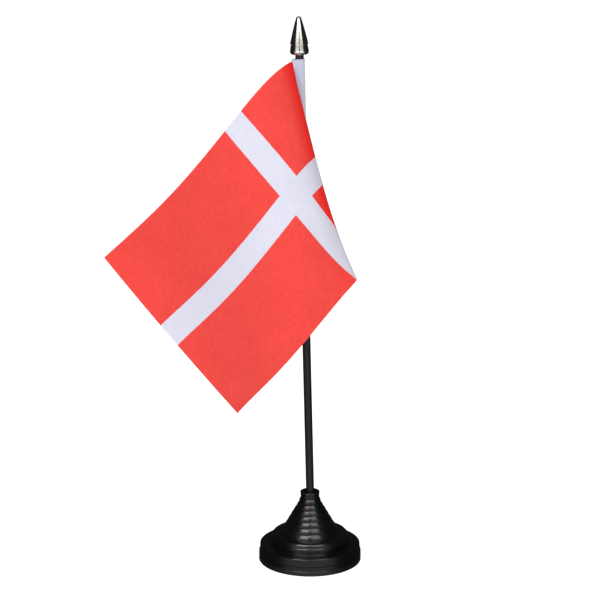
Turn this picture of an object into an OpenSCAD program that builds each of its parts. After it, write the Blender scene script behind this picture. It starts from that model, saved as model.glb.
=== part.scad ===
// Desk flag stand: a small printed flag on a push-in pole with a weighted
// round base and a pointed finial.
// Millimetres, +Z up. The origin is the middle of the underside of the base.
// The viewer stands on the -Y side and the flag flies towards -X.

/* [Base] */
// Diameter of the base, mm
base_d = 50.6; // [40:0.2:70]
// Thickness of the bottom cover, mm
cover_t = 2.5; // [1.5:0.1:4]
// Height of the wide lower step, mm
low_step_h = 8.6; // [6:0.1:14]
// Height of the inner step, mm
inner_step_h = 14.1; // [10:0.1:20]
// Diameter of the inner step, mm
inner_step_d = 38.8; // [30:0.2:46]
// Number of rings on the cone
ring_n = 7; // [3:1:10]
// Height of the whole base, mm
base_h = 35.4; // [28:0.1:45]
// Wall thickness of the shell, mm
wall = 1.8; // [1.2:0.1:3]

/* [Pole] */
// Diameter of the pole, mm
pole_d = 4.0; // [3:0.1:6]
// Height of the pole top above the table, mm
pole_top = 262; // [200:1:320]
// How far the pole goes into the base, mm
pole_in = 26; // [15:1:30]
// Lean of the pole in its loose neck, degrees
lean = 1.38; // [0:0.02:3]

/* [Finial] */
// Length of the finial, mm
finial_h = 17.8; // [12:0.1:30]
// Widest diameter of the finial collar, mm
finial_d = 8.9; // [7:0.1:12]

/* [Flag] */
// Length of the printed flag, mm
flag_l = 150; // [100:1:200]
// Height of the printed flag, mm
flag_w = 100; // [60:1:130]
// Thickness of the cloth, mm
cloth_t = 0.4; // [0.2:0.05:0.8]
// Height of the top edge of the flag, mm
flag_top = 249.8; // [200:0.1:300]
// Length along the bottom edge from the pole to the fold, mm
fold_len = 59; // [40:1:80]
// Roundness of the fold, mm
fold_r = 3.5; // [1:0.1:8]

/* [Hidden] */
$fn = 96;
fit = 0.04;
base_r = base_d / 2;
inner_r = inner_step_d / 2;
pole_r = pole_d / 2;
// the pole axis crosses the base axis at the mouth of the neck
pivot_z = 38;
pole_bottom = base_h - pole_in;
socket_r = 4.2;
recess_r = 3.2;
recess_h = 2.6;
neck_r = 4.65;
rim_r = 4.8;
ring_top_z = base_h - 3.3;
ring_foot_r = 14.35;
ring_slope = 0.5735;
ring_growth = 0.15;
ring_swell = 0.3;
ballast_r = 17;
ballast_h = 6;
sleeve_in = pole_r + 0.06;
sleeve_t = 0.35;
sleeve_out = sleeve_in + sleeve_t;
sleeve_top = flag_top + 0.7;
sleeve_len = flag_w + 0.7;
seam_ang = 216;
seam_reach = 4.4;
stitch_n = 28;

// Puts things built along +Z from the table onto the leaning pole axis.
module on_pole()
    translate([0, 0, pivot_z])
        rotate([0, -lean, 0])
            translate([0, 0, -pivot_z])
                children();

// A point on the leaning axis at height z along it.
function axis_pt(z) = [
    -(z - pivot_z) * sin(lean),
    0,
    pivot_z + (z - pivot_z) * cos(lean)
];

// Arc from angle a to angle b around (x, y).
function arc(x, y, r, a, b, n = 6) = [
    for (i = [0 : n]) let (t = a + (b - a) * i / n) [x + r * cos(t), y + r * sin(t)]
];

// Point on the side of the cone where ring i starts; the rings grow a little downwards.
function ring_start(i) = let (
    k = i / ring_n,
    z = ring_top_z - (ring_top_z - inner_step_h) * (k * (1 - ring_growth) + ring_growth * k * k)
) [max(neck_r, ring_foot_r - (z - inner_step_h) * ring_slope), z];

// One ring: the side of the cone swells outwards between two grooves.
function ring_side(i, n = 8) = let (
    a = ring_start(i),
    b = ring_start(i + 1),
    out = [a[1] - b[1], b[0] - a[0]] / norm(b - a)
) [for (k = [0 : n - 1]) let (t = k / n) a + (b - a) * t + out * ring_swell * 4 * t * (1 - t)];

shell_outline = concat(
    [[recess_r, base_h - 0.25]],
    arc(recess_r + 0.25, base_h - 0.25, 0.25, 180, 90, 3),
    arc(rim_r - 0.45, base_h - 0.45, 0.45, 90, 0, 5),
    [[neck_r, base_h - 1.6]],
    [for (i = [0 : ring_n - 1]) each ring_side(i)],
    [ring_start(ring_n)],
    arc(inner_r - 2.2, inner_step_h - 1.6, 1.6, 90, 12, 7),
    [[inner_r - 0.56, inner_step_h - 1.6]],
    arc(inner_r - 0.9, inner_step_h - 2.9, 0.9, 65, 0, 6),
    [[inner_r, low_step_h + 0.2]],
    [[inner_r + 0.2, low_step_h]],
    arc(base_r - 1.0, low_step_h - 0.45, 0.45, 90, 0, 5),
    [[base_r - 0.45, cover_t + 2.3]],
    [[base_r, cover_t + 2.05]],
    [[base_r, cover_t + 0.25]],
    [[base_r - 0.25, cover_t]]
);

shell_inside = [
    [base_r - 2.4, cover_t],
    [base_r - 2.4, low_step_h - wall],
    [inner_r - wall, low_step_h - wall],
    [inner_r - wall, inner_step_h - wall],
    [ring_foot_r - 1.4, inner_step_h - wall],
    [socket_r, ring_top_z - 4.4]
];

// Moulded cap: neck, ringed cone, two steps and a rim.
module base_shell() color([0.05, 0.05, 0.055]) difference() {
    rotate_extrude()
        polygon(concat(
            shell_outline,
            shell_inside,
            [[socket_r, pole_bottom - 4]],
            [[0, pole_bottom - 4]],
            [[0, base_h - recess_h]],
            [[recess_r, base_h - recess_h]]
        ));
    on_pole()
        translate([0, 0, pole_bottom])
            cylinder(h = pole_in + 2, r = pole_r + fit);
}

// Flat plate that closes the base from below.
module base_cover() color([0.06, 0.06, 0.065]) {
    rotate_extrude()
        polygon(concat(
            [[0, 0]],
            [[base_r - 0.35, 0]],
            arc(base_r - 0.35, 0.35, 0.35, -90, 0, 4),
            [[base_r, cover_t - 0.25]],
            [[base_r - 0.25, cover_t]],
            [[0, cover_t]]
        ));
    translate([0, 0, cover_t])
        difference() {
            cylinder(h = 1.4, r = base_r - 2.45);
            translate([0, 0, -1])
                cylinder(h = 4, r = base_r - 4);
        }
}

// Steel washer resting on the cover.
module ballast_disc() color([0.5, 0.5, 0.52])
    translate([0, 0, cover_t])
        difference() {
            cylinder(h = ballast_h, r = ballast_r);
            translate([0, 0, -1])
                cylinder(h = ballast_h + 2, r = socket_r + 0.8);
        }

module pole() color([0.03, 0.03, 0.035]) on_pole()
    rotate_extrude()
        polygon([
            [0, pole_bottom],
            [pole_r - 0.4, pole_bottom],
            [pole_r, pole_bottom + 0.4],
            [pole_r, pole_top - 0.4],
            [pole_r - 0.4, pole_top],
            [0, pole_top]
        ]);

// Slightly swollen cone with a rounded tip, over a flared collar.
finial_in = 9.35;
finial_z = pole_top - finial_in;
finial_r = finial_d / 2;
tip_r = 1.4;
cone_foot = [finial_r - 0.15, 4.9];
cone_top = [tip_r - 0.1, finial_h - tip_r + 0.3];
groove_z = 4.3;
finial_outline = concat(
    [[0, finial_h]],
    arc(0, finial_h - tip_r, tip_r, 70, 25, 5),
    [for (k = [0 : 8]) let (t = k / 8)
        cone_top + (cone_foot - cone_top) * t + [0.14 * 4 * t * (1 - t), 0]],
    [[finial_r - 0.42, groove_z + 0.3]],
    [[finial_r - 0.72, groove_z + 0.1]],
    [[finial_r - 0.72, groove_z - 0.1]],
    [[finial_r - 0.35, groove_z - 0.3]],
    [[finial_r - 0.1, 2.2]],
    arc(finial_r - 0.9, 1.5, 0.9, 28, 0, 3),
    arc(finial_r - 1.1, 1.1, 1.1, 0, -90, 6)
);

module finial() color([0.75, 0.75, 0.74]) on_pole()
    translate([0, 0, finial_z])
        difference() {
            rotate_extrude()
                polygon(concat(finial_outline, [[0, 0]]));
            translate([0, 0, -1])
                cylinder(h = finial_in + 1.1, r = pole_r + fit);
        }

// Folded tape round the pole, drawn in at the seam.
module sleeve_shape(r, reach, half) {
    circle(r = r);
    rotate(seam_ang)
        polygon([
            [0, -r * 0.94],
            [r * 0.34, -r * 0.94],
            [reach, -half],
            [reach, half],
            [r * 0.34, r * 0.94],
            [0, r * 0.94]
        ]);
}

module flag_sleeve() color([0.93, 0.93, 0.95]) on_pole()
    translate([0, 0, sleeve_top - sleeve_len])
        linear_extrude(sleeve_len)
            difference() {
                sleeve_shape(sleeve_out, seam_reach, 0.42);
                circle(r = sleeve_in);
            }

// Row of thread stitches through the seam.
module sleeve_stitching() color([0.85, 0.85, 0.88]) on_pole()
    for (i = [0 : stitch_n - 1])
        translate([0, 0, flag_top - 2.4 - i * (sleeve_len - 4.8) / (stitch_n - 1)])
            rotate([0, 0, seam_ang])
                for (s = [-1, 1])
                    translate([3.75, s * 0.72, 0])
                        rotate([0, 0, s * 10])
                            cube([0.3, 0.22, 2.2], center = true);

/* Cloth: a flat back part from the sleeve to the fold, then the wavy front. */
// Control points of the front, each list from the top edge to the bottom edge.
fold_line = [[-8.6, -2.2, 249.5], [1.4, -24.1, 218.8], [6.3, -41.8, 188.0], [22.4, -55.1, 158.1]];
near_line = [[-26.6, -32.4, 246.1], [-2.7, -72.9, 210.5], [5.2, -65.2, 142.9]];
mid_line = [[-47.4, -48.5, 206.6], [-37.8, -76.8, 158.5], [-8.5, -82.5, 123.3]];
far_line = [[-70.2, -12.0, 182.6], [-41.5, -31.9, 149.6], [-24.0, -65.4, 108.3]];
fly_line = [[-97.6, -16.8, 158.2], [-67.2, -39.4, 126.9], [-33.7, -52.5, 92.4]];

// Point at t on the smooth curve drawn by a list of control points.
function bow(p, t) = len(p) == 1 ? p[0]
    : bow([for (i = [0 : len(p) - 2]) (1 - t) * p[i] + t * p[i + 1]], t);

// Point of the front: s runs from the fold to the fly edge, t from top to bottom.
function front_pt(s, t) = let (q = 1 - s)
    q ^ 4 * bow(fold_line, t)
    + 4 * q ^ 3 * s * bow(near_line, t)
    + 6 * q ^ 2 * s ^ 2 * bow(mid_line, t)
    + 4 * q * s ^ 3 * bow(far_line, t)
    + s ^ 4 * bow(fly_line, t);

// Seam point of the sleeve at depth t below the top edge.
seam_end = seam_reach + cloth_t / 2 + 0.02;
function hoist_pt(t) =
    axis_pt(flag_top - 0.3 - t * (flag_w - 0.6))
    + seam_end * [cos(seam_ang), sin(seam_ang), 0];

back_n = 4;
turn_n = 6;
front_n = 26;
down_n = 16;

// One row across the cloth, rounded where it turns at the fold.
function row(t) = let (
    h = hoist_pt(t),
    c = bow(fold_line, t),
    reach = norm(c - h),
    e = min(fold_r, reach * 0.45),
    b = c + (h - c) * e / reach,
    s0 = e / (flag_l - fold_len * t),
    f = front_pt(s0, t)
) concat(
    [for (i = [0 : back_n - 1]) h + (b - h) * i / back_n],
    [for (i = [0 : turn_n]) let (k = i / turn_n)
        (1 - k) * (1 - k) * b + 2 * k * (1 - k) * c + k * k * f],
    [for (i = [1 : front_n]) front_pt(s0 + (1 - s0) * i / front_n, t)]
);

rows = [for (j = [0 : down_n]) row(j / down_n)];
cols = len(rows[0]);

function clampi(i, hi) = max(0, min(hi, i));
function side(j, i) = let (
    a = rows[j][clampi(i + 1, cols - 1)] - rows[j][clampi(i - 1, cols - 1)],
    b = rows[clampi(j + 1, down_n)][i] - rows[clampi(j - 1, down_n)][i],
    n = cross(a, b)
) n / norm(n) * cloth_t / 2;

cloth_pts = concat(
    [for (j = [0 : down_n]) for (i = [0 : cols - 1]) rows[j][i] + side(j, i)],
    [for (j = [0 : down_n]) for (i = [0 : cols - 1]) rows[j][i] - side(j, i)]
);
half_n = cols * (down_n + 1);
function at(j, i) = j * cols + i;
cloth_faces = concat(
    [for (j = [0 : down_n - 1]) for (i = [0 : cols - 2]) each [
        [at(j, i), at(j + 1, i), at(j + 1, i + 1)],
        [at(j, i), at(j + 1, i + 1), at(j, i + 1)],
        [half_n + at(j, i), half_n + at(j + 1, i + 1), half_n + at(j + 1, i)],
        [half_n + at(j, i), half_n + at(j, i + 1), half_n + at(j + 1, i + 1)]
    ]],
    [for (i = [0 : cols - 2]) each [
        [at(0, i), at(0, i + 1), half_n + at(0, i + 1)],
        [at(0, i), half_n + at(0, i + 1), half_n + at(0, i)],
        [at(down_n, i), half_n + at(down_n, i + 1), at(down_n, i + 1)],
        [at(down_n, i), half_n + at(down_n, i), half_n + at(down_n, i + 1)]
    ]],
    [for (j = [0 : down_n - 1]) each [
        [at(j, 0), half_n + at(j, 0), half_n + at(j + 1, 0)],
        [at(j, 0), half_n + at(j + 1, 0), at(j + 1, 0)],
        [at(j, cols - 1), half_n + at(j + 1, cols - 1), half_n + at(j, cols - 1)],
        [at(j, cols - 1), at(j + 1, cols - 1), half_n + at(j + 1, cols - 1)]
    ]]
);

module flag_cloth() color([0.8, 0.1, 0.12])
    polyhedron(points = cloth_pts, faces = cloth_faces, convexity = 8);

base_shell();
base_cover();
ballast_disc();
pole();
finial();
flag_cloth();
flag_sleeve();
sleeve_stitching();
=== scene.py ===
"""Desk flag stand: cloth, materials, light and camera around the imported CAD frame.

Metres and +Z up in the scene; the flag is worked out in millimetres. The viewer is on the -Y side.
"""
import math

import bpy
import numpy as np
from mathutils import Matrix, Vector


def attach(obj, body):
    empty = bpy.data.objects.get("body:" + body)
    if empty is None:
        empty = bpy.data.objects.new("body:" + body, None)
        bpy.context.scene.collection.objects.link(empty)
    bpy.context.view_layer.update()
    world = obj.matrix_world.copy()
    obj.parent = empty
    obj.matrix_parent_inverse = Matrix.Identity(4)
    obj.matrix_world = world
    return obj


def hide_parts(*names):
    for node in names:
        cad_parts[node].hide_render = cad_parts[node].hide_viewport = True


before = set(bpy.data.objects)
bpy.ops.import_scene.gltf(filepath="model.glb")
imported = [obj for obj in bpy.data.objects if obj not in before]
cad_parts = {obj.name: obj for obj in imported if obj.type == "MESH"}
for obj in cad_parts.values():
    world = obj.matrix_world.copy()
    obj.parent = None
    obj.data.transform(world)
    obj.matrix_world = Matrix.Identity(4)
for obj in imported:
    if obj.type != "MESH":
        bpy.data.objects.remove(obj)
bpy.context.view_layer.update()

MM = 0.001

# ---------------------------------------------------------------- sizes of the flag, mm
LEAN = math.radians(1.38)  # lean of the pole towards -X
PIVOT_Z = 38.0  # where the pole axis crosses the base axis
FLAG_L, FLAG_W = 150.0, 100.0
FLAG_TOP = 249.8
HOIST_INSET = 0.3  # the cloth's corners on the hoist stay this far inside the sleeve
FOLD_LEN = 59.0  # bottom edge from the pole to the fold
FOLD_R = 3.5
SEAM_ANGLE = math.radians(216)
SEAM_REACH = 4.62  # from the pole axis to the cloth's hoist edge
CLOTH_T = 0.16

# Control points of the cloth's front, each row from the top edge to the bottom edge.
FRONT_NET = [
    [[-8.6, -2.2, 249.5], [1.2, -23.7, 219.6], [6.1, -41.4, 188.8], [22.4, -55.1, 158.1]],
    [[-26.6, -32.4, 246.1], [-2.7, -72.9, 210.5], [5.2, -65.2, 142.9]],
    [[-47.4, -48.5, 206.6], [-37.8, -76.8, 158.5], [-8.5, -82.5, 123.3]],
    [[-70.2, -12.0, 182.6], [-41.5, -31.9, 149.6], [-24.0, -65.4, 108.3]],
    [[-97.6, -16.8, 158.2], [-67.2, -39.4, 126.9], [-33.7, -52.5, 92.4]],
]

# Where the crease crosses the flat cloth: its distance from the hoist, at the top and per mm down.
CREASE_TOP = 1.24
CREASE_SLOPE = 0.5766

# The white cross on the print, mm from the hoist and from the top edge.
CROSS_U = (46.6, 59.7)
CROSS_V = (44.2, 56.8)
PRINT_BLUR = 0.12  # half the width of the print's soft edge

# Painted shade beside the crease: the red and the white of the print are made darker and deeper
# there, the red less so near the bottom edge.
SHADE_REACH = 15.0
SHADE_FADE = (94.0, 66.0)
THREAD_PITCH = 0.28


# ---------------------------------------------------------------- small helpers
def axis_point(z):
    """Point on the leaning pole axis at height z along it, mm."""
    along = z - PIVOT_Z
    return np.array([-along * math.sin(LEAN), 0.0, PIVOT_Z + along * math.cos(LEAN)])


def new_object(name, data):
    obj = bpy.data.objects.new(name, data)
    bpy.context.scene.collection.objects.link(obj)
    return obj


def apply_modifiers(obj):
    deps = bpy.context.evaluated_depsgraph_get()
    mesh = bpy.data.meshes.new_from_object(obj.evaluated_get(deps), depsgraph=deps)
    obj.modifiers.clear()
    obj.data = mesh


def shade_smooth(obj, angle):
    obj.data.polygons.foreach_set("use_smooth", [True] * len(obj.data.polygons))
    bpy.context.view_layer.objects.active = obj
    obj.data.set_sharp_from_angle(angle=angle)


def grid_faces(rows, cols):
    j, i = np.mgrid[0:rows - 1, 0:cols - 1]
    a = (j * cols + i).ravel()
    return np.stack([a, a + cols, a + cols + 1, a + 1], axis=1)


def paint(obj, material):
    obj.data.materials.clear()
    obj.data.materials.append(material)


# ---------------------------------------------------------------- node trees
class Graph:
    """A node tree, with short ways to add nodes and links."""

    def __init__(self, tree):
        self.tree = tree
        self.coords = None

    def add(self, kind, **values):
        node = self.tree.nodes.new("ShaderNode" + kind)
        for key, value in values.items():
            if key in node.inputs:
                node.inputs[key].default_value = value
            else:
                setattr(node, key, value)
        return node

    def link(self, source, target):
        self.tree.links.new(source, target)

    def math(self, operation, *values):
        node = self.add("Math", operation=operation)
        for socket, value in zip(node.inputs, values):
            if isinstance(value, (int, float)):
                socket.default_value = value
            else:
                self.link(value, socket)
        return node.outputs[0]

    def ramp(self, value, low, high, span=(0.3, 0.7)):
        """Colour from low to high while value runs over span."""
        node = self.add("ValToRGB")
        for element, place, colour in zip(node.color_ramp.elements, span, (low, high)):
            element.position = place
            element.color = (*colour, 1)
        self.link(value, node.inputs["Fac"])
        return node.outputs["Color"]

    def spread(self, value, low, high):
        """Number from low to high while value runs from 0 to 1."""
        node = self.add("MapRange", **{"To Min": low, "To Max": high})
        self.link(value, node.inputs["Value"])
        return node.outputs["Result"]

    def fade(self, value, start, end, low=0.0, kind="SMOOTHSTEP"):
        """Number from low to 1 while value runs from start to end."""
        limits = {"From Min": start, "From Max": end, "To Min": low}
        node = self.add("MapRange", interpolation_type=kind, **limits)
        self.link(value, node.inputs["Value"])
        return node.outputs["Result"]

    def mix(self, factor, low, high):
        node = self.add("Mix", data_type="RGBA")
        self.link(factor, node.inputs["Factor"])
        for socket, value in ((node.inputs[6], low), (node.inputs[7], high)):
            if isinstance(value, tuple):
                socket.default_value = (*value, 1)
            else:
                self.link(value, socket)
        return node.outputs[2]

    def split(self, vector):
        node = self.add("SeparateXYZ")
        self.link(vector, node.inputs[0])
        return node.outputs

    def object_coords(self):
        if self.coords is None:
            self.coords = self.add("TexCoord")
        return self.coords.outputs["Object"]

    def noise(self, scale, detail=3.0, roughness=0.55, vector=None):
        node = self.add("TexNoise", Scale=scale, Detail=detail, Roughness=roughness)
        self.link(vector or self.object_coords(), node.inputs["Vector"])
        return node.outputs["Fac"]

    def bump(self, height, strength, depth, normal=None):
        node = self.add("Bump", Strength=strength, Distance=depth * MM)
        self.link(height, node.inputs["Height"])
        if normal is not None:
            self.link(normal, node.inputs["Normal"])
        return node.outputs["Normal"]

    def weave(self, vector, pitch):
        """Height of a plain weave over a vector in metres, with threads of the given pitch in mm."""
        place = self.split(vector)
        step = math.pi / (pitch * MM)
        waves = [self.math("SINE", self.math("MULTIPLY", place[axis], step)) for axis in "XY"]
        return self.math("MULTIPLY", *waves)


class Material(Graph):
    def __init__(self, name):
        self.material = bpy.data.materials.new(name)
        self.material.use_nodes = True
        super().__init__(self.material.node_tree)
        self.tree.nodes.clear()

    def shader(self, **values):
        return self.add("BsdfPrincipled", **values)

    def finish(self, shader):
        out = self.add("OutputMaterial")
        self.link(shader.outputs[0], out.inputs["Surface"])
        return self.material


# ---------------------------------------------------------------- materials
def shades(colour, *factors):
    """The colour made darker or lighter by each factor."""
    return [[part * factor for part in colour] for factor in factors]


def moulded_plastic(name, colour, rough, grain, coat):
    """Black moulded plastic: a rough body under a glossy skin, with faint grain and flow marks."""
    m = Material(name)
    skin_gloss = {"Coat Weight": coat, "Coat Roughness": 0.07, "Coat IOR": 1.6}
    shader = m.shader(IOR=1.5, **skin_gloss)
    flow = m.noise(160.0, 4.0)
    m.link(m.ramp(flow, *shades(colour, 0.8, 1.25)), shader.inputs["Base Color"])
    m.link(m.spread(flow, rough * 0.75, rough * 1.3), shader.inputs["Roughness"])
    skin = m.bump(m.noise(2600.0, 2.0), grain, 0.04)
    m.link(skin, shader.inputs["Normal"])
    m.link(m.bump(flow, grain * 0.5, 0.06, skin), shader.inputs["Coat Normal"])
    return m.finish(shader)


def plated_metal(name):
    """Bright plating with faint turning marks and small dull spots."""
    m = Material(name)
    shader = m.shader(Metallic=1.0)
    stretch = m.add("Mapping", Scale=(1.0, 1.0, 14.0))
    m.link(m.object_coords(), stretch.inputs["Vector"])
    turned = m.noise(700.0, 2.0, vector=stretch.outputs[0])
    spots = m.noise(220.0)
    m.link(m.ramp(spots, (0.75, 0.72, 0.63), (0.87, 0.85, 0.79)), shader.inputs["Base Color"])
    m.link(m.spread(spots, 0.09, 0.2), shader.inputs["Roughness"])
    m.link(m.bump(turned, 0.12, 0.03), shader.inputs["Normal"])
    return m.finish(shader)


def bare_steel(name):
    m = Material(name)
    shader = m.shader(Metallic=1.0)
    scale = m.noise(300.0, 5.0)
    m.link(m.ramp(scale, (0.32, 0.31, 0.3), (0.5, 0.49, 0.48)), shader.inputs["Base Color"])
    m.link(m.spread(scale, 0.3, 0.55), shader.inputs["Roughness"])
    m.link(m.bump(scale, 0.2, 0.1), shader.inputs["Normal"])
    return m.finish(shader)


def printed_cloth(name):
    """Thin woven polyester, printed red with a white cross that shows on both faces, with painted
    shade darkening the print beside the crease.
    """
    m = Material(name)
    place = m.add("UVMap", uv_map="Cloth").outputs[0]
    across, down, _ = m.split(place)
    wobble = m.math("MULTIPLY", m.math("SUBTRACT", m.noise(900.0, 2.0), 0.5), 0.4 * MM)

    def bar(value, edges):
        soft = PRINT_BLUR * MM
        near, far = (edge * MM for edge in edges)
        shifted = m.math("ADD", value, wobble)
        starts = m.fade(shifted, near - soft, near + soft, kind="LINEAR")
        ends = m.fade(shifted, far + soft, far - soft, kind="LINEAR")
        return m.math("MULTIPLY", starts, ends)

    cross = m.math("MAXIMUM", bar(across, CROSS_U), bar(down, CROSS_V))
    fine_dye = m.noise(520.0, 5.0, 0.7)
    broad_dye = m.noise(70.0, 3.0, 0.6)
    mottle = m.math("MULTIPLY_ADD", broad_dye, 0.3, m.math("MULTIPLY", fine_dye, 0.7))
    span = (0.32, 0.68)
    red = m.ramp(mottle, (0.725, 0.056, 0.045), (0.835, 0.078, 0.066), span)
    pale = m.ramp(mottle, (0.625, 0.63, 0.725), (0.70, 0.695, 0.79), span)

    # painted shade: the red and the white are made darker beside the crease, the red less so towards
    # the bottom edge
    crease = m.math("MULTIPLY_ADD", down, CREASE_SLOPE, CREASE_TOP * MM)
    crease_shade_mask = m.fade(m.math("ABSOLUTE", m.math("SUBTRACT", across, crease)), SHADE_REACH * MM, 0.0)
    shade_strength = m.fade(down, SHADE_FADE[0] * MM, SHADE_FADE[1] * MM, low=0.3)
    red = m.mix(m.math("MULTIPLY", crease_shade_mask, shade_strength), red, (0.77, 0.008, 0.004))
    pale = m.mix(crease_shade_mask, pale, (0.59, 0.565, 0.645))
    colour = m.mix(cross, red, pale)

    shader = m.shader(**{"Sheen Weight": 0.04, "Sheen Roughness": 0.5, "Specular IOR Level": 0.15})
    m.link(colour, shader.inputs["Base Color"])
    m.link(m.spread(mottle, 0.68, 0.86), shader.inputs["Roughness"])
    m.link(m.bump(m.weave(place, THREAD_PITCH), 0.35, 0.06), shader.inputs["Normal"])
    through = m.add("BsdfTranslucent")
    m.link(colour, through.inputs["Color"])
    both = m.add("MixShader", Fac=0.25)
    m.link(shader.outputs[0], both.inputs[1])
    m.link(through.outputs[0], both.inputs[2])
    return m.finish(both)


def plain_cloth(name, colour, pitch):
    """Unprinted woven tape or thread."""
    m = Material(name)
    shader = m.shader(**{"Sheen Weight": 0.15, "Sheen Roughness": 0.5, "Specular IOR Level": 0.2})
    mottle = m.noise(520.0, 4.0, 0.7)
    m.link(m.ramp(mottle, *shades(colour, 0.93, 1.0), (0.25, 0.75)), shader.inputs["Base Color"])
    m.link(m.spread(mottle, 0.7, 0.88), shader.inputs["Roughness"])
    m.link(m.bump(m.weave(m.object_coords(), pitch), 0.3, 0.05), shader.inputs["Normal"])
    return m.finish(shader)


def floor_paint(name):
    """White table top, lit a little from below as a product table is."""
    m = Material(name)
    glow = {"Emission Color": (1, 1, 1, 1), "Emission Strength": 0.36}
    shader = m.shader(Roughness=0.9, **glow)
    cloud = m.noise(3.0, 2.0)
    m.link(m.ramp(cloud, (0.93,) * 3, (0.95,) * 3, (0.0, 1.0)), shader.inputs["Base Color"])
    return m.finish(shader)


# ---------------------------------------------------------------- the flag
def bow(points, t):
    """Point at t on the smooth curve drawn by a row of control points; t may be an array."""
    t = np.asarray(t, float)[..., None]
    level = [np.array(p, float) for p in points]
    while len(level) > 1:
        level = [(1 - t) * a + t * b for a, b in zip(level, level[1:])]
    return level[0]


def front_point(s, t):
    """Cloth front: s runs from the fold to the fly edge, t from the top edge to the bottom."""
    s = np.asarray(s, float)[..., None]
    weights = (1, 4, 6, 4, 1)
    return sum(
        w * (1 - s) ** (4 - i) * s ** i * bow(FRONT_NET[i], t) for i, w in enumerate(weights)
    )


def cloth_row(t, back_n=40, turn_n=16, front_n=150):
    """Points across the cloth at depth t, with each point's distance from the hoist when flat.

    The cloth runs back from the hoist to the crease, turns there and comes forward to the fly edge.
    """
    seam = np.array([math.cos(SEAM_ANGLE), math.sin(SEAM_ANGLE), 0.0]) * SEAM_REACH
    hoist = axis_point(FLAG_TOP - HOIST_INSET - t * (FLAG_W - 2 * HOIST_INSET)) + seam
    crease = bow(FRONT_NET[0], t)
    reach = np.linalg.norm(crease - hoist)
    edge = min(FOLD_R, reach * 0.45)  # the turn takes less than half of a short row
    back_end = crease + (hoist - crease) * edge / reach
    s0 = edge / (FLAG_L - FOLD_LEN * t)
    front_start = front_point(s0, t)

    k = np.linspace(0, 1, back_n, endpoint=False)
    c = np.linspace(0, 1, turn_n, endpoint=False)
    s = s0 + (1 - s0) * np.linspace(0, 1, front_n)
    turn = bow([back_end, crease, front_start], c)
    front = front_point(s, np.full(front_n, t))
    points = np.concatenate([hoist + (back_end - hoist) * k[:, None], turn, front])

    flat_fold = CREASE_TOP + CREASE_SLOPE * FLAG_W * t
    back_flat = max(flat_fold - edge, 0.4 * flat_fold)
    flat_start = flat_fold + s0 * (FLAG_L - flat_fold)
    flat = np.concatenate([
        back_flat * k,
        back_flat + (flat_start - back_flat) * c,
        flat_fold + s * (FLAG_L - flat_fold),
    ])
    return points, flat


def make_flag():
    down_n = 121
    depth = np.linspace(0, 1, down_n)
    rows = [cloth_row(t) for t in depth]
    points = np.array([r[0] for r in rows])
    flat_u = np.array([r[1] for r in rows])
    flat_v = np.repeat(depth[:, None] * FLAG_W, flat_u.shape[1], axis=1)
    mesh = bpy.data.meshes.new("flag_print")
    faces = grid_faces(down_n, points.shape[1])
    mesh.from_pydata((points.reshape(-1, 3) * MM).tolist(), [], faces.tolist())
    layer = mesh.uv_layers.new(name="Cloth")
    corners = np.zeros(len(mesh.loops), np.int32)
    mesh.loops.foreach_get("vertex_index", corners)
    flat = np.stack([flat_u.ravel(), flat_v.ravel()], axis=1) * MM
    layer.data.foreach_set("uv", flat[corners].ravel())
    obj = new_object("flag_print", mesh)
    solid = obj.modifiers.new("thickness", "SOLIDIFY")
    solid.thickness = CLOTH_T * MM
    solid.offset = 0.0
    apply_modifiers(obj)
    shade_smooth(obj, math.radians(70))
    paint(obj, printed_cloth("cloth_print"))
    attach(obj, "flag")
    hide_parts("flag_cloth")


# ---------------------------------------------------------------- carried CAD nodes
def paint_cad_nodes():
    finishes = {
        "base_shell": moulded_plastic("plastic_base", (0.0022, 0.0025, 0.0030), 0.3, 0.25, 0.6),
        "base_cover": moulded_plastic("plastic_cover", (0.005, 0.0053, 0.0057), 0.42, 0.3, 0.6),
        "ballast_disc": bare_steel("steel_ballast"),
        "pole": moulded_plastic("plastic_pole", (0.0085, 0.0085, 0.0100), 0.34, 0.4, 0.05),
        "finial": plated_metal("metal_finial"),
        "flag_sleeve": plain_cloth("cloth_sleeve", (0.46, 0.485, 0.60), 0.3),
        "sleeve_stitching": plain_cloth("thread_white", (0.84, 0.84, 0.88), 0.2),
    }
    for node_name, material in finishes.items():
        paint(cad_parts[node_name], material)


# ---------------------------------------------------------------- floor, light, camera
def make_floor():
    """Wide white table; glossy pieces do not mirror it."""
    reach = 20.0
    corners = [(-reach, -reach, 0), (reach, -reach, 0), (reach, reach, 0), (-reach, reach, 0)]
    mesh = bpy.data.meshes.new("floor")
    mesh.from_pydata(corners, [], [(0, 1, 2, 3)])
    floor = new_object("floor", mesh)
    floor.visible_glossy = False
    paint(floor, floor_paint("floor_paint"))


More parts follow.
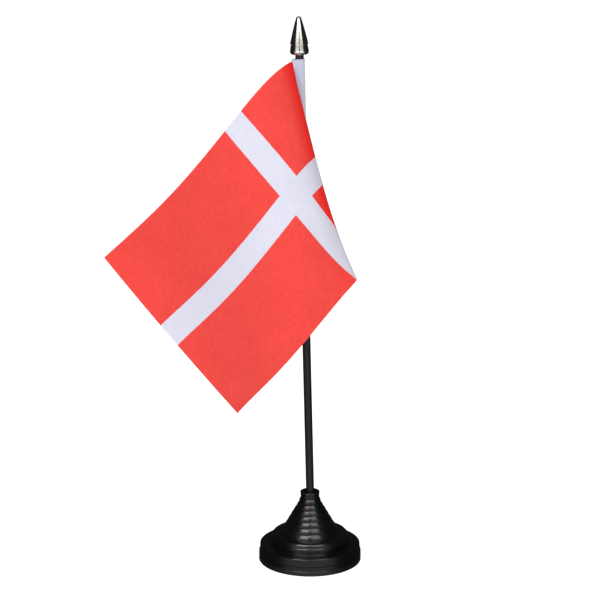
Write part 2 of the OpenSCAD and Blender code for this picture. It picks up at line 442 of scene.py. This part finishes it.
def make_room():
    """Dark room, brighter low in front, where the table runs towards the viewer."""
    world = bpy.data.worlds.new("studio")
    world.use_nodes = True
    m = Graph(world.node_tree)
    _, away, up = m.split(m.add("TexCoord").outputs["Generated"])
    in_front = m.fade(away, -0.3, -0.7)
    below_eye = m.fade(up, 0.04, -0.06)
    far_table = m.fade(up, -0.3, -0.16, low=0.3)
    glow = m.math("MULTIPLY", in_front, m.math("MULTIPLY", below_eye, far_table))
    background = world.node_tree.nodes["Background"]
    background.inputs["Color"].default_value = (0.9, 0.95, 1.0, 1)
    m.link(m.spread(glow, 0.017, 0.95), background.inputs["Strength"])
    bpy.context.scene.world = world


def soft_box(name, place, size, power):
    """Rectangular soft box that faces the middle of the stand."""
    data = bpy.data.lights.new(name, "AREA")
    data.shape = "RECTANGLE"
    data.size, data.size_y = size
    data.energy = power
    light = new_object(name, data)
    light.location = place
    aim = Vector((0, 0, 0.1)) - Vector(place)
    light.rotation_euler = aim.to_track_quat("-Z", "Y").to_euler()


def make_lights():
    """Two soft boxes behind the camera with weak ones under them, and a top light for the floor."""
    soft_box("box_left", (-0.47, -0.99, 1.2), (0.82, 1.16), 12.2)
    soft_box("low_left", (-0.66, -1.3, 0.47), (1.15, 0.58), 1.7)
    soft_box("box_right", (0.49, -0.98, 1.2), (0.86, 1.16), 6.6)
    soft_box("low_right", (0.66, -1.3, 0.47), (1.15, 0.58), 1.4)
    data = bpy.data.lights.new("top", "SUN")
    data.energy = 2.1
    data.angle = math.radians(80)
    new_object("top", data).visible_glossy = False


def make_camera():
    """Long lens in front of the stand, looking down on it a little."""
    tilt_down, turn_left = 14.973, 0.271
    data = bpy.data.cameras.new("camera")
    data.sensor_width = 36.0
    data.lens = 133.8
    data.clip_start = 0.05
    camera = new_object("camera", data)
    camera.location = (0.0, -1.0415, 0.4116)
    camera.rotation_euler = (math.radians(90 - tilt_down), 0.0, math.radians(turn_left))
    bpy.context.scene.camera = camera


make_flag()
paint_cad_nodes()
make_floor()
make_room()
make_lights()
make_camera()
bpy.context.scene.view_settings.view_transform = "Standard"
